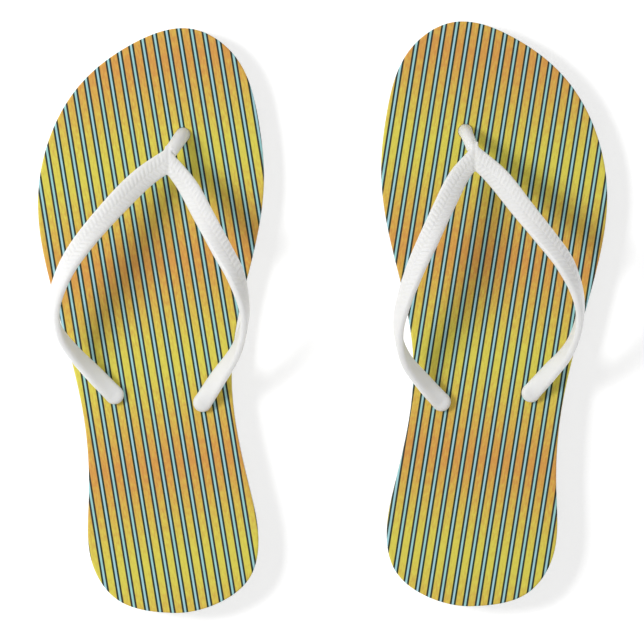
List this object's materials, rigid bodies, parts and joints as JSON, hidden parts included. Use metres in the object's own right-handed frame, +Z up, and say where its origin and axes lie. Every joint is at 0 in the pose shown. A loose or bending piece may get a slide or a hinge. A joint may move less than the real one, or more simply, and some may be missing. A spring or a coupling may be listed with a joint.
{
  "type": "flip flop",
  "caption": "Pair of flip-flops: flat shaped foam soles with a striped printed footbed and a white ribbed rubber thong strap held by buttons and washers.",
  "frame": {"origin": "on the ground, in the middle of the pair's bounding box", "axes": "+Y towards the toes, +Z up, +X towards the right shoe"},
  "size_m": [0.2536, 0.2634, 0.0509],
  "materials": {
    "printed_footbed": "fine woven top sheet printed with slanting yellow, orange, pale blue and dark green stripes",
    "white_foam": "white closed-cell foam, matte",
    "outsole_rubber": "white rubber, moulded tread",
    "strap_rubber": "soft white rubber, satin, herringbone ribs on the outer face",
    "washer_plastic": "white plastic"
  },
  "bodies": {
    "left_shoe": {"left_footbed": "printed_footbed", "left_midsole": "white_foam", "left_outsole": "outsole_rubber", "left_strap": "strap_rubber", "left_toe_washer": "washer_plastic", "left_lateral_washer": "washer_plastic", "left_medial_washer": "washer_plastic"},
    "right_shoe": {"right_footbed": "printed_footbed", "right_midsole": "white_foam", "right_outsole": "outsole_rubber", "right_strap": "strap_rubber", "right_toe_washer": "washer_plastic", "right_lateral_washer": "washer_plastic", "right_medial_washer": "washer_plastic"}
  },
  "joints": [
    {"name": "right_shoe_lift", "type": "slide", "parent": "left_shoe", "child": "right_shoe", "axis": [0, 0, 1], "range_m": [0, 0.12]}
  ]
}
